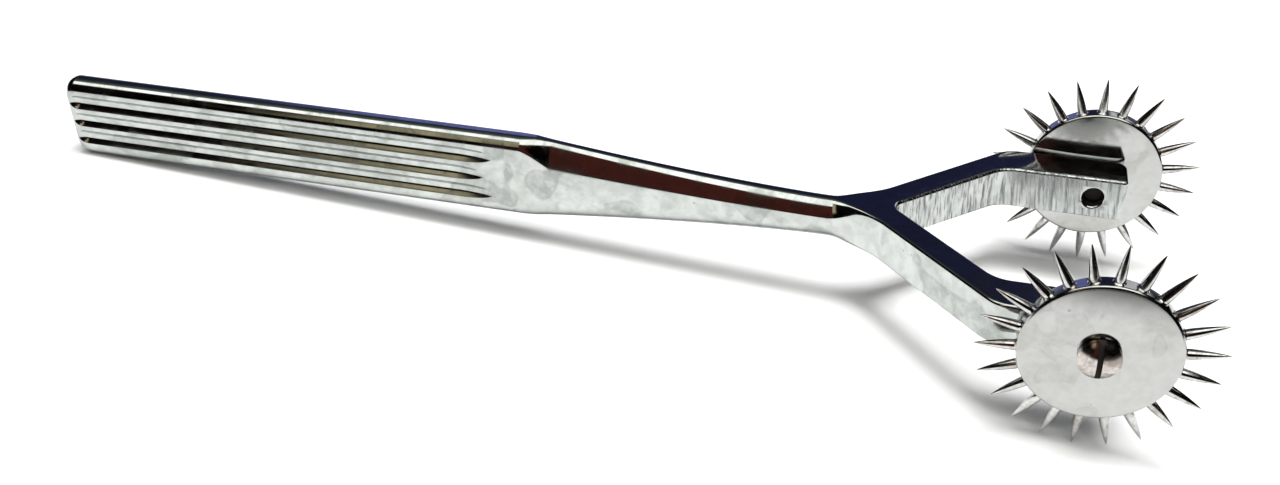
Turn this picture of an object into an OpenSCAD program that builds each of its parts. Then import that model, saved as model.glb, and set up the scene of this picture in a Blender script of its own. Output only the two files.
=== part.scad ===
// Double-headed neurological pinwheel: a flat steel handle with a fluted grip that splits into
// a fork, with a free-turning wheel of sharp pins on the outer side of each fork end.
// It lies as on a table: +X along the handle towards the wheels, +Y towards the left wheel,
// +Z up, origin under the middle of its length. All sizes are in millimetres.

/* [Handle] */
// Length from the end of the handle to the tips of the pins
overall_length = 190.5; // [175:0.5:210]
// Thickness of the flat bar
bar_thickness = 4.8; // [4.4:0.1:6]
// Height of the grip
grip_height = 14.2; // [13:0.1:18]
// Radius of the long edges of the grip
grip_edge = 1.4; // [0.8:0.1:1.6]
// Radius of the corners at the end of the grip, seen from the side
butt_corner = 2.2; // [1.5:0.1:3]
// Radius around the end of the grip, seen from above
butt_edge = 1.2; // [0.6:0.1:1.5]

/* [Neck] */
// Distance from the wheel axis back to the point where the grip starts to narrow
shoulder_reach = 88; // [80:1:95]
// Length over which the edges of the grip sweep into the rounded edges of the neck
shoulder_sweep = 5.2; // [4:0.2:8]
// Height of the flat side of the neck beside the shoulder
neck_flat_wide = 4.8; // [3:0.2:6]
// Height of the flat side of the neck beside the fork
neck_flat_narrow = 1.6; // [1:0.2:3]
// Width of the narrow flat left along the top and bottom of the neck
neck_crown = 0.5; // [0.3:0.1:1]
// Length over which the rounded edges of the neck run out in the flare
neck_run_out = 7; // [3:0.5:9]

/* [Flutes] */
// Number of flutes in each side of the grip
flute_count = 4; // [2:1:4]
// Distance between the middles of two flutes
flute_pitch = 3.2; // [2.4:0.1:3.6]
// Width of a flute
flute_width = 1.6; // [1:0.1:2]
// Depth of a flute
flute_depth = 0.65; // [0.3:0.05:0.9]
// Radius on which the cutter leaves the bar at both ends of a flute
flute_lift = 12; // [6:1:25]
// Distance from the end of the handle to the ends of the flutes
flute_to_butt = 1.4; // [0.8:0.1:6]
// Distance from the start of the shoulder to the ends of the flutes
flute_to_shoulder = 6; // [4:0.5:12]

/* [Fork] */
// Clear distance between the two ends of the fork
fork_span = 33.5; // [28:0.5:40]
// Distance from the wheel axis back to the bottom of the fork
fork_reach = 29.8; // [26:0.1:34]
// Angle between each arm and the middle line
arm_angle = 46; // [40:1:50]
// Thickness of each arm
arm_thickness = 4.7; // [4.4:0.1:6]
// Height of the fork where it leaves the neck
fork_height = 6.6; // [6:0.1:8]
// Bevel along the edges of the arms
arm_bevel = 0.35; // [0.2:0.05:0.6]
// Radius at the bottom of the fork
crotch_radius = 2; // [1:0.25:4]
// Radius where the bar flares into the arms
flare_radius = 12; // [6:1:14]
// Radius of the inner side of the bend at each fork end
bend_radius = 5; // [2:0.5:7]
// Thickness of each fork end
pad_thickness = 6.9; // [6:0.1:8]
// Height of each fork end
pad_height = 7; // [6.4:0.1:8]
// Distance that each fork end reaches past the wheel axis
pad_reach = 4.8; // [4:0.1:7]
// Radius of the outer upright corner of each fork end
pad_round = 1.8; // [1:0.1:3]
// Radius of the inner upright corner of each fork end
pad_corner = 0.6; // [0.4:0.1:1.2]
// Radius of the upper and lower corners of each fork end, seen from the side
pad_nose = 0.6; // [0.4:0.1:1.5]

/* [Wheels] */
// Diameter over the tips of the pins
tip_diameter = 32.8; // [30:0.2:36]
// Diameter of the disc
disc_diameter = 21.2; // [18:0.2:24]
// Thickness of the disc at its rim
disc_thickness = 2.2; // [2:0.1:3]
// Height by which each face of the disc bulges towards its hub
disc_crown = 0.6; // [0.3:0.05:0.9]
// Bevel around the edges of the disc
disc_bevel = 0.15; // [0.1:0.05:0.3]
// Number of pins in each wheel
pin_count = 22; // [16:2:24]
// Diameter of a pin
pin_diameter = 1.45; // [1:0.05:1.6]
// Depth of the hole that holds a pin
pin_seat = 2.4; // [1.5:0.1:3.5]
// Length of the straight part of a pin outside the disc
pin_straight = 1.7; // [1:0.1:2.5]
// Diameter of the blunted tip of a pin
pin_tip = 0.12; // [0.08:0.02:0.2]
// Diameter of the small collar at the foot of a pin
pin_collar = 1.8; // [1.7:0.05:2]
// Turn of the right wheel, so that one pin stands this many degrees ahead of the top
right_turn = 1.2; // [0:0.2:16]
// Turn of the left wheel, so that one pin stands this many degrees ahead of the top
left_turn = 13.2; // [0:0.2:16]

/* [Axle screws] */
// Diameter of the screw head
head_diameter = 5.4; // [5:0.1:7]
// Height of the straight rim of the screw head
head_rim = 0.35; // [0.2:0.05:0.6]
// Height of the dome on the screw head
head_dome = 0.95; // [0.6:0.05:1.2]
// Width of the driving slot
slot_width = 0.95; // [0.6:0.05:1.2]
// Depth of the driving slot below the top of the dome
slot_depth = 0.85; // [0.5:0.05:1.1]
// Lean of the driving slot from upright, in degrees
slot_lean = 5; // [0:1:90]
// Diameter of the plain shoulder that the wheel turns on
journal_diameter = 3.8; // [3.4:0.1:4.4]
// Diameter of the thread
thread_diameter = 3; // [2.5:0.1:3.2]
// Distance that the end of the thread stays below the inner face of the fork end
thread_recess = 1.6; // [0.8:0.1:3]
// Diameter of the countersink around the thread at the inner face
countersink_diameter = 3.9; // [3.7:0.1:4.4]

/* [Clearances] */
// Gap between the wheel's bore and the shoulder that it turns on, on the radius
running_clearance = 0.05; // [0.02:0.01:0.1]
// Gap between the fork end and the wheel
wheel_gap = 0.4; // [0.3:0.05:0.6]
// Gap between the wheel and the screw head
head_gap = 0.2; // [0.15:0.05:0.4]

/* [Hidden] */
$fn = 64;

tip_r = tip_diameter / 2;
disc_r = disc_diameter / 2;
bar_half = bar_thickness / 2;
grip_half = grip_height / 2;
fork_half = fork_height / 2;
pad_half = pad_height / 2;
butt_x = tip_r - overall_length;
shoulder_x = -shoulder_reach;
pad_in = fork_span / 2;
pad_out = pad_in + pad_thickness;
wheel_in = pad_out + wheel_gap + disc_crown;
edge_steps = 6;
arc_steps = 6;
flare_steps = 7;
cut_over = 1;

// How far into the sweep the shoulder lies, and how fast the neck and its flat sides narrow
sweep_lead = 0.45;
neck_swell = 1.5;
flat_swell = 1.4;

// Share of the flare that belongs to the neck, which enters the fork a step inside its faces
flare_share = 0.8;
join_step = 0.02;

// Apex of the inner V, and where the sides of the bar, arms and fork ends would meet unrounded
crotch_x = -fork_reach - crotch_radius * (1 / sin(arm_angle) - 1);
outer_x = crotch_x - arm_thickness / sin(arm_angle);
flare_x = outer_x + bar_half / tan(arm_angle);
bend_in_x = crotch_x + pad_in / tan(arm_angle);
bend_out_x = outer_x + pad_out / tan(arm_angle);
fork_x = flare_x - flare_radius * tan(arm_angle / 2);
split_x = fork_x + flare_share * flare_radius * sin(arm_angle);

// The handle tips forward until its end and the pins both touch the table
rest_reach = -butt_x - butt_corner;
rest_drop = grip_half - butt_corner;
rest_angle = asin((tip_r - butt_corner) / norm([rest_reach, rest_drop])) - atan(rest_drop / rest_reach);
axis_x = overall_length / 2 - tip_r;

function mix(a, b, t) = a + (b - a) * t;
function clamp01(t) = min(1, max(0, t));
function smooth(t) = t * t * (3 - 2 * t);

// Progress along the neck, from 0 at the fork to 1 at the shoulder
function along_neck(x) = clamp01((x - fork_x) / (shoulder_x - fork_x));
function shoulder_blend(x) = smooth(clamp01((x - shoulder_x) / shoulder_sweep + sweep_lead));
function fork_blend(x) = smooth(clamp01((x - split_x) / neck_run_out + 1));

// How much a rounded corner of radius r takes off at a distance d from the end
function corner_loss(r, d) = d < r ? r - sqrt(r * r - (r - d) * (r - d)) : 0;
function fork_height_at(x) = mix(fork_half, pad_half, (x - fork_x) / (pad_reach - fork_x));
function full_height(x) = mix(fork_height_at(max(x, fork_x)), grip_half, pow(along_neck(x), neck_swell));
function half_height(x) = full_height(x) - corner_loss(butt_corner, x - butt_x) - join_step * fork_blend(x);

// Half width of the bar, which flares behind the fork, with its sides moved inwards by d
function flare_side(x, d) =
    let (s = max(0, x - fork_x))
    bar_half + flare_radius - sqrt(pow(flare_radius + d, 2) - s * s);
function half_width(x) = flare_side(x, 0) - corner_loss(butt_edge, x - butt_x) - join_step * fork_blend(x);

// Height and width of the rounding along the four long edges of the bar
function neck_edge_h(x) = half_height(x) - mix(neck_flat_narrow, neck_flat_wide, pow(along_neck(x), flat_swell)) / 2;
function bevel_w(x) = flare_side(x, 0) - flare_side(x, arm_bevel);
function edge_h(x) = mix(mix(grip_edge, neck_edge_h(x), shoulder_blend(x)), arm_bevel, fork_blend(x));
function edge_w(x) =
    mix(mix(grip_edge, bar_half - neck_crown / 2, shoulder_blend(x)), bevel_w(x), 1 - pow(1 - fork_blend(x), 2));

// The cosine of an edge's rounding, which turns into a straight bevel at the fork
function bevel_cos(a) = abs(a % 360 - 180) / 90 - 1;
function edge_cos(a, x) = mix(cos(a), bevel_cos(a), fork_blend(x));

function bar_ring(x, reach = 0) = [
    for (q = [0:3], k = [0:edge_steps])
        let (
            a = 90 * (q + k / edge_steps),
            side = (q == 0 || q == 3) ? 1 : -1,
            level = q < 2 ? 1 : -1,
            w = min(edge_w(x), half_width(x) - neck_crown / 2),
            h = edge_h(x),
            y = side * (half_width(x) - w) + w * edge_cos(a, x),
            z = level * (half_height(x) - h) + h * edge_cos(a + 270, x)
        )
        [x + reach, y, z]
];

// Places along the bar where its section changes
sweep_x = shoulder_x - sweep_lead * shoulder_sweep;
bar_stations = concat(
    [for (k = [0:edge_steps]) butt_x + butt_corner * (1 - cos(90 * k / edge_steps))],
    [for (k = [0:8]) sweep_x + shoulder_sweep * k / 8],
    [for (k = [1:9]) mix(sweep_x + shoulder_sweep, split_x - neck_run_out, k / 9)],
    [for (k = [1:9]) split_x - neck_run_out * (1 - k / 9)]
);

// Skin over rings of equally many points, closed at both ends by the faces of cap
module ring_stack(rings, cap) {
    n = len(rings[0]);
    points = [for (ring = rings) each ring];
    sides = [
        for (i = [0:len(rings) - 2], k = [0:n - 1])
            let (a = i * n + k, b = i * n + (k + 1) % n)
            each [[a, b + n, b], [a, a + n, b + n]]
    ];
    last = [for (face = cap) [for (k = [len(face) - 1:-1:0]) (len(rings) - 1) * n + face[k]]];
    polyhedron(points, concat(cap, sides, last), convexity = 6);
}

// Outline through corners [x, y, radius], each corner drawn as an arc
function unit(v) = v / norm(v);
function round_corner(a, b, c) =
    let (
        corner = [b.x, b.y],
        u = unit([a.x, a.y] - corner),
        v = unit([c.x, c.y] - corner),
        half = acos(u * v) / 2,
        middle = corner + unit(u + v) * b.z / sin(half),
        start = corner + u * b.z / tan(half) - middle,
        from = atan2(start.y, start.x),
        turn = (cross(u, v) < 0 ? 1 : -1) * (180 - 2 * half)
    )
    b.z == 0 ? [corner] : [
        for (k = [0:arc_steps])
            let (a = from + turn * k / arc_steps)
            middle + b.z * [cos(a), sin(a)]
    ];
function round_inner(p) = [for (i = [1:len(p) - 2]) each round_corner(p[i - 1], p[i], p[i + 1])];

// The corners of a path moved inwards by d, for an outline that runs clockwise
function inset_corner(a, b, c, d) =
    let (
        u = unit([a.x - b.x, a.y - b.y]),
        v = unit([c.x - b.x, c.y - b.y]),
        inwards = cross(u, v) > 0 ? 1 : -1,
        shift = inwards * d * unit(u + v) / sin(acos(u * v) / 2)
    )
    [b.x + shift.x, b.y + shift.y, b.z == 0 ? 0 : b.z - inwards * d];
function right_of(v) = [v.y, -v.x, 0] / norm([v.x, v.y]);
function inset(p, d) =
    let (last = len(p) - 1)
    concat(
        [p[0] + d * right_of(p[1] - p[0])],
        [for (i = [1:last - 1]) inset_corner(p[i - 1], p[i], p[i + 1], d)],
        [p[last] + d * right_of(p[last] - p[last - 1])]
    );

// Left half of the fork seen from above, from the flare round the fork end to the crotch
flare_corner = [flare_x, bar_half, 0];
crotch_corner = [crotch_x, 0, crotch_radius];
arm_corners = [
    flare_corner,
    [bend_out_x, pad_out, bend_radius],
    [pad_reach, pad_out, pad_round],
    [pad_reach, pad_in, pad_corner],
    [bend_in_x, pad_in, bend_radius],
    crotch_corner
];
function flare_path(d) =
    let (r = flare_radius + d, from = asin((split_x - fork_x) / r))
    [
        for (k = [0:flare_steps])
            let (a = mix(from, arm_angle, k / flare_steps))
            [fork_x + r * sin(a), bar_half + flare_radius - r * cos(a)]
    ];
function crotch_path(d) =
    let (r = crotch_radius + d, middle = -fork_reach + crotch_radius)
    [
        for (k = [flare_steps:-1:0])
            let (a = (90 - arm_angle) * k / flare_steps)
            [middle - r * cos(a), r * sin(a)]
    ];
function half_fork(d) = concat(flare_path(d), round_inner(inset(arm_corners, d)), crotch_path(d));

// The whole outline of the fork at the height level(x), with its sides moved inwards by d
function fork_ring(d, up) =
    let (half = half_fork(d), last = len(half) - 1)
    concat(
        [for (k = [0:last]) fork_point(half[k], 1, d, up)],
        [for (k = [last - 1:-1:0]) fork_point(half[k], -1, d, up)]
    );
function fork_point(p, side, d, up) = [p.x, side * p.y, up * (fork_height_at(p.x) - arm_bevel + d)];

// Triangles over the fork: strips from the outer to the inner side of each arm, joined at the neck
function fork_cap(m) = concat(
    [[0, 2 * m + 1, 4 * m + 2]],
    [
        for (i = [0:m - 1])
            each [
                [i, i + 1, 2 * m - i],
                [i, 2 * m - i, 2 * m + 1 - i],
                [2 * m + 1 + i, 2 * m + 2 + i, 4 * m + 1 - i],
                [2 * m + 1 + i, 4 * m + 1 - i, 4 * m + 2 - i]
            ]
    ]
);

module bar() {
    rings = concat([for (x = bar_stations) bar_ring(x)], [bar_ring(split_x, cut_over)]);
    ring_stack(rings, [[for (k = [0:len(rings[0]) - 1]) k]]);
}

module flute_cutter() {
    cutter_r = (pow(flute_width / 2, 2) + pow(flute_depth, 2)) / (2 * flute_depth);
    lift_angle = acos(1 - (flute_depth + cut_over / 2) / flute_lift);
    run = sqrt(pow(flute_lift, 2) - pow(flute_lift - flute_depth, 2));
    from_x = butt_x + flute_to_butt + run;
    to_x = shoulder_x - flute_to_shoulder - run;
    translate([from_x, cutter_r - flute_depth, 0])
        rotate([0, 90, 0]) cylinder(h = to_x - from_x, r = cutter_r);
    for (end = [[from_x, 1], [to_x, 0]])
        translate([end[0], cutter_r - flute_depth + flute_lift, 0])
            mirror([end[1], 0, 0]) rotate([0, 0, -90])
                rotate_extrude(angle = lift_angle) translate([flute_lift, 0]) circle(cutter_r);
}

module flutes() {
    for (side = [0, 1], i = [0:flute_count - 1])
        mirror([0, side, 0])
            translate([0, bar_half, (i - (flute_count - 1) / 2) * flute_pitch])
                flute_cutter();
}

module fork() {
    rings = [fork_ring(arm_bevel, 1), fork_ring(0, 1), fork_ring(0, -1), fork_ring(arm_bevel, -1)];
    far_corner = [split_x - cut_over, pad_half + cut_over, 0];
    near_corner = [split_x - cut_over, -pad_half - cut_over, 0];
    nose = [[pad_reach, pad_half, pad_nose], [pad_reach, -pad_half, pad_nose]];
    intersection() {
        ring_stack(rings, fork_cap((len(rings[0]) - 3) / 4));
        rotate([90, 0, 0]) linear_extrude(height = 2 * pad_out + 2 * cut_over, center = true)
            polygon(concat(
                [[far_corner.x, far_corner.y]],
                round_inner([far_corner, nose[0], nose[1], near_corner]),
                [[near_corner.x, near_corner.y]]
            ));
    }
}

module screw_holes() {
    for (side = [0, 1])
        mirror([0, side, 0]) {
            translate([0, pad_in - cut_over, 0]) rotate([-90, 0, 0])
                cylinder(h = pad_thickness + 2 * cut_over, d = thread_diameter);
            sink = (countersink_diameter - thread_diameter) / 2;
            translate([0, pad_in - cut_over, 0]) rotate([-90, 0, 0])
                cylinder(h = cut_over + sink, r1 = countersink_diameter / 2 + cut_over, r2 = thread_diameter / 2);
        }
}

module in_place() {
    translate([axis_x, 0, tip_r]) rotate([0, -rest_angle, 0]) children();
}

module handle_fork() {
    color("silver") in_place() difference() {
        union() {
            bar();
            fork();
        }
        flutes();
        screw_holes();
    }
}

// The parts of a wheel are drawn with the axis upright, from the inner face of the disc outwards
module wheel_place(side) {
    in_place() mirror([0, side < 0 ? 1 : 0, 0]) translate([0, wheel_in, 0]) rotate([-90, 0, 0]) children();
}

module disc() {
    bore_r = journal_diameter / 2 + running_clearance;
    face_r = disc_r - disc_bevel;
    crown_r = (pow(face_r, 2) + pow(disc_crown, 2)) / (2 * disc_crown);
    crown_z = crown_r - disc_crown;
    difference() {
        rotate_extrude() intersection() {
            polygon([
                [bore_r, -disc_crown],
                [face_r - disc_crown, -disc_crown],
                [disc_r, disc_bevel],
                [disc_r, disc_thickness - disc_bevel],
                [face_r - disc_crown, disc_thickness + disc_crown],
                [bore_r, disc_thickness + disc_crown]
            ]);
            translate([0, crown_z]) circle(crown_r, $fn = 720);
            translate([0, disc_thickness - crown_z]) circle(crown_r, $fn = 720);
        }
        for (i = [1:pin_count])
            pin_place(i) cylinder(h = pin_seat + cut_over, d = pin_diameter);
    }
}

// Brings a pin, drawn upright from the bottom of its hole, to its place around the disc
module pin_place(i) {
    rotate([0, 0, 360 * i / pin_count]) translate([disc_r - pin_seat, 0, disc_thickness / 2])
        rotate([0, 90, 0]) children();
}

// One pin: a shank that is pressed into the disc, a small collar, a straight part and a long point
module pin() {
    pin_r = pin_diameter / 2;
    tip = pin_tip / 2;
    collar_h = (pin_collar - pin_diameter) / 2;
    taper = tip_r - disc_r - pin_straight;
    swell = (pow(pin_r - tip, 2) + pow(taper, 2)) / (2 * (pin_r - tip));
    cylinder(h = pin_seat + pin_straight, r = pin_r);
    translate([0, 0, pin_seat]) cylinder(h = collar_h, r1 = pin_collar / 2, r2 = pin_r);
    translate([0, 0, pin_seat + pin_straight]) rotate_extrude() intersection() {
        translate([pin_r - swell, 0]) circle(swell, $fn = 256);
        square([pin_r, taper]);
    }
}

// One axle screw: slotted head, plain shoulder for the wheel and thread, from the head downwards
module axle_screw() {
    pad_z = -wheel_gap - disc_crown;
    head_z = disc_thickness + disc_crown + head_gap;
    thread = pad_thickness - thread_recess;
    head_r = head_diameter / 2;
    dome_r = (pow(head_r, 2) + pow(head_dome, 2)) / (2 * head_dome);
    head_h = head_rim + head_dome;
    translate([0, 0, pad_z - thread]) cylinder(h = thread, d = thread_diameter);
    translate([0, 0, pad_z]) cylinder(h = head_z - pad_z, d = journal_diameter);
    translate([0, 0, head_z]) difference() {
        intersection() {
            cylinder(h = head_h, r = head_r);
            translate([0, 0, head_h - dome_r]) sphere(dome_r);
        }
        rotate([0, 0, -slot_lean]) translate([-slot_width / 2, -head_r - cut_over, head_h - slot_depth])
            cube([slot_width, head_diameter + 2 * cut_over, slot_depth + cut_over]);
    }
}

module right_disc() {
    color("gainsboro") wheel_place(-1) rotate([0, 0, right_turn - 90]) disc();
}

module left_disc() {
    color("gainsboro") wheel_place(1) rotate([0, 0, left_turn - 90]) disc();
}

module right_pin(i) {
    color("silver") wheel_place(-1) rotate([0, 0, right_turn - 90]) pin_place(i) pin();
}

module left_pin(i) {
    color("silver") wheel_place(1) rotate([0, 0, left_turn - 90]) pin_place(i) pin();
}

module right_axle_screw() {
    color("darkgray") wheel_place(-1) axle_screw();
}

module left_axle_screw() {
    color("darkgray") wheel_place(1) axle_screw();
}

handle_fork();
right_disc();
left_disc();
right_axle_screw();
left_axle_screw();
for (i = [1:pin_count]) {
    right_pin(i);
    left_pin(i);
}
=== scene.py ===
import math

import bmesh
import bpy
from bpy.props import FloatProperty, FloatVectorProperty, PointerProperty
from mathutils import Matrix, Vector


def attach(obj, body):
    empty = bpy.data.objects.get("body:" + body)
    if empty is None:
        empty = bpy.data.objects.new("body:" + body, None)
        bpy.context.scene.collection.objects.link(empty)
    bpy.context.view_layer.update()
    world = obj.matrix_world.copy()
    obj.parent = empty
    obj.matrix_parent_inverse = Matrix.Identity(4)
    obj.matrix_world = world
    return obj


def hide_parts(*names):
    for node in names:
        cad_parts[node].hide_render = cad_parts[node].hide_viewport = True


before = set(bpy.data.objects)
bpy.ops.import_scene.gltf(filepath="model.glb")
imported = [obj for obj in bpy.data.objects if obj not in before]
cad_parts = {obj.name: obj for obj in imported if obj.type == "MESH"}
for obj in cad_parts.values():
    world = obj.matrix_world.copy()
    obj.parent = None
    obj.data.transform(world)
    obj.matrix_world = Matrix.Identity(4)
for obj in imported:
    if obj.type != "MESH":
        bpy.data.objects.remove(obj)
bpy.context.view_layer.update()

bl_info = {
    "name": "Neurological Pinwheel",
    "version": (1, 0, 0),
    "blender": (4, 5, 0),
    "location": "3D View > Sidebar > Pinwheel",
    "description": "Dresses the solid parts of a chrome neurological pinwheel",
    "category": "Add Mesh",
}

MM = 0.001
PIN_COUNT = sum(name.startswith("right_pin_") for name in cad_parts)


# Sizes and colours that a user would change


def length(name, millimetres, text):
    return FloatProperty(
        name=name, description=text, default=millimetres * MM, min=0.0, unit="LENGTH", precision=5
    )


def angle(name, degrees, text):
    return FloatProperty(name=name, description=text, default=math.radians(degrees), unit="ROTATION")


def share(name, value, text):
    return FloatProperty(name=name, description=text, default=value, min=0.0, max=1.0)


def colour(name, value, text):
    return FloatVectorProperty(
        name=name, description=text, default=value, size=3, min=0.0, max=1.0, subtype="COLOR"
    )


class HandleSizes(bpy.types.PropertyGroup):
    overall_length: length("Overall length", 190.5, "From the end of the handle to the tips of the pins")
    bar_thickness: length("Bar thickness", 4.8, "Thickness of the flat bar")
    grip_height: length("Grip height", 14.2, "Height of the grip")
    grip_edge: length("Grip edge", 2.2, "Radius of the long edges of the grip")
    butt_corner: length("Butt corner", 2.2, "Radius of the corners at the end, seen from the side")
    butt_edge: length("Butt edge", 1.2, "Radius around the end, seen from above")
    shoulder_reach: length("Shoulder reach", 88, "From the wheel axis back to the start of the neck")
    shoulder_sweep: length("Shoulder sweep", 5.2, "Length over which the grip's edges turn into the neck's")
    neck_flat_wide: length("Neck flat, wide end", 4.8, "Height of the neck's flat side at the shoulder")
    neck_flat_narrow: length("Neck flat, narrow end", 1.6, "Height of the neck's flat side at the fork")
    neck_crown: length("Neck crown", 0.5, "Width of the flat along the top of the neck")
    neck_edge_turn: angle("Neck edge turn", 45, "How sharply the neck's rounding meets its flat side")
    neck_run_out: length("Neck run-out", 7, "Length over which the neck's rounding runs out")
    flute_pitch: length("Flute pitch", 3.3, "Distance between the middles of two flutes")
    flute_width: length("Flute width", 2.5, "Width of a flute")
    flute_depth: length("Flute depth", 0.65, "Depth of a flute")
    flute_entry: length("Flute entry", 3, "Radius on which the cutter enters the bar at the butt")
    flute_lift: length("Flute lift", 30, "Radius on which the cutter leaves the bar at the shoulder")
    flute_stagger: length("Flute stagger", 1.4, "How much shorter the middle flute is")
    flute_to_butt: length("Flutes from the butt", 0.8, "From the end of the handle to the flutes")
    flute_to_shoulder: length("Flutes from the shoulder", 7, "From the shoulder back to the flutes")
    fork_span: length("Fork span", 33.5, "Clear distance between the fork ends")
    fork_reach: length("Fork reach", 29.8, "From the wheel axis back to the bottom of the fork")
    arm_angle: angle("Arm angle", 46, "Between each arm and the middle line")
    arm_thickness: length("Arm thickness", 4.7, "Thickness of each arm")
    fork_height: length("Fork height", 6.6, "Height of the fork where it leaves the neck")
    arm_bevel: length("Arm edge", 0.55, "Rounding along the edges of the arms")
    crotch_radius: length("Crotch radius", 2, "Radius at the bottom of the fork")
    flare_radius: length("Flare radius", 12, "Radius where the bar flares into the arms")
    bend_radius: length("Bend radius", 5, "Radius of the bend at each fork end")
    pad_thickness: length("Pad thickness", 6.9, "Thickness of each fork end")
    pad_height: length("Pad height", 7, "Height of each fork end")
    pad_reach: length("Pad reach", 4.8, "How far each fork end reaches past the wheel axis")
    pad_round: length("Pad outer corner", 1.8, "Radius of the outer upright corner of a fork end")
    pad_corner: length("Pad inner corner", 0.6, "Radius of the inner upright corner of a fork end")
    pad_nose: length("Pad nose", 0.6, "Radius of the upper and lower corners of a fork end")


class WheelSizes(bpy.types.PropertyGroup):
    tip_diameter: length("Tip diameter", 32.8, "Diameter over the tips of the pins")
    disc_diameter: length("Disc diameter", 21.6, "Diameter of the disc")
    disc_thickness: length("Disc thickness", 2.7, "Thickness of the disc at its rim")
    disc_crown: length("Disc crown", 0.45, "Height by which the inner face bulges towards the hub")
    disc_swell: length("Disc outer crown", 0.3, "Height by which the outer face bulges towards the hub")
    disc_edge: length("Disc edge", 0.4, "Rounding around the edges of the disc")
    pin_diameter: length("Pin diameter", 1.5, "Diameter of a pin at its foot")
    pin_seat: length("Pin seat", 2.4, "Depth of the hole that holds a pin")
    pin_straight: length("Pin straight", 0.5, "Length of the straight part of a pin outside the disc")
    pin_belly: length("Pin belly", 0.11, "How far the long point bulges over a plain cone")
    pin_tip: length("Pin tip", 0.12, "Diameter of the blunted tip of a pin")
    pin_collar: length("Pin collar", 1.8, "Diameter of the small collar at the foot of a pin")
    right_turn: angle("Right wheel turn", 1.2, "How far ahead of the top a pin of the right wheel stands")
    left_turn: angle("Left wheel turn", 13.2, "How far ahead of the top a pin of the left wheel stands")
    head_diameter: length("Head diameter", 5.8, "Diameter of the screw head")
    head_rim: length("Head rim", 0.95, "Height of the straight rim of the screw head")
    head_dome: length("Head dome", 0.95, "Height of the dome on the screw head")
    slot_width: length("Slot width", 0.75, "Width of the driving slot")
    slot_depth: length("Slot depth", 0.85, "Depth of the driving slot")
    slot_lean: angle("Slot lean", 5, "Lean of the driving slot from upright")
    journal_diameter: length("Journal diameter", 3.8, "Diameter of the shoulder that the wheel turns on")
    thread_diameter: length("Thread diameter", 3, "Diameter of the thread")
    thread_pitch: length("Thread pitch", 0.5, "Distance between two turns of the thread")
    thread_recess: length("Thread recess", 1.6, "From the inner face of the fork end to the thread's end")
    countersink: length("Countersink", 3.9, "Diameter of the countersink at the inner face")
    running_clearance: length("Running clearance", 0.05, "Gap between the wheel's bore and its journal")
    wheel_gap: length("Wheel gap", 0.3, "Gap between the fork end and the wheel")
    head_gap: length("Head gap", 0.2, "Gap between the wheel and the screw head")


class Finish(bpy.types.PropertyGroup):
    handle_tint: colour("Handle", (0.53, 0.555, 0.54), "Colour of the handle's chrome")
    disc_tint: colour("Discs", (0.47, 0.475, 0.465), "Colour of the discs' chrome")
    pin_tint: colour("Pins", (0.60, 0.60, 0.60), "Colour of the pins' chrome")
    screw_tint: colour("Screws", (0.58, 0.545, 0.52), "Colour of the bare steel of the screws")
    smudge: share("Smudges", 0.5, "How much the chrome is marked by handling")
    wear: share("Wear", 0.5, "How much the edges are worn")


class StageLook(bpy.types.PropertyGroup):
    floor_tint: colour("Floor", (0.86, 0.86, 0.86), "Colour of the floor")
    light_power: FloatProperty(
        name="Soft light", description="Strength of the overhead soft light", default=4.6, min=0.0
    )


# Plain geometry helpers


def mix(a, b, t):
    return a + (b - a) * t


def clamp01(t):
    return min(1.0, max(0.0, t))


def smooth(t):
    return t * t * (3 - 2 * t)


def corner_loss(radius, distance):
    """How much a rounded corner takes off at a distance from the end."""
    if distance >= radius:
        return 0.0
    inner = radius - max(distance, 0.0)
    return radius - math.sqrt(max(0.0, radius * radius - inner * inner))


def steps(count):
    return [k / count for k in range(count + 1)]


def quarter_turn(count):
    return [t * math.pi / 2 for t in steps(count)]


# Points closer together than the first are one point, and a radius below the second is on the axis
SAME_POINT, ON_AXIS = 1e-8, 1e-9


class Skin:
    """Points and faces of a mesh, laid down row by row."""

    def __init__(self):
        self.points, self.faces = [], []

    def row(self, points):
        start = len(self.points)
        self.points += points
        return list(range(start, len(self.points)))

    def strip(self, a, b):
        self.faces += [(a[k], b[k], b[k + 1], a[k + 1]) for k in range(len(a) - 1)]

    def tube(self, a, b):
        self.strip(a + a[:1], b + b[:1])

    def mesh(self, name, place, mirrored=False):
        made = bmesh.new()
        for side in (1, -1) if mirrored else (1,):
            corners = [made.verts.new((x, side * y, z)) for x, y, z in self.points]
            for face in self.faces:
                made.faces.new([corners[i] for i in (face if side > 0 else face[::-1])])
        bmesh.ops.remove_doubles(made, verts=made.verts, dist=SAME_POINT)
        bmesh.ops.recalc_face_normals(made, faces=made.faces)
        for face in made.faces:
            face.smooth = True
        made.transform(place)
        if place.determinant() < 0:
            bmesh.ops.reverse_faces(made, faces=made.faces)
        data = bpy.data.meshes.new(name)
        made.to_mesh(data)
        made.free()
        return data


def add_piece(data, material, body, slot, *nodes):
    piece = bpy.data.objects.new(data.name, data)
    bpy.context.scene.collection.objects.link(piece)
    data.materials.append(material)
    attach(piece, body)
    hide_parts(*nodes)
    return piece


def shade_or_grind_faces(piece, place, inside, material):
    """Gives a second material to the faces whose middle, seen from place, lies inside."""
    piece.data.materials.append(material)
    back = place.inverted()
    for face in piece.data.polygons:
        at = back @ face.center
        if inside(at, (back.to_3x3() @ face.normal).normalized()):
            face.material_index = len(piece.data.materials) - 1


def even_normals(piece):
    """Keeps flat faces flat in the shading, so that only the narrow roundings between them turn."""
    weighted = piece.modifiers.new("Even normals", "WEIGHTED_NORMAL")
    weighted.weight = 100
    weighted.keep_sharp = True


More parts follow.
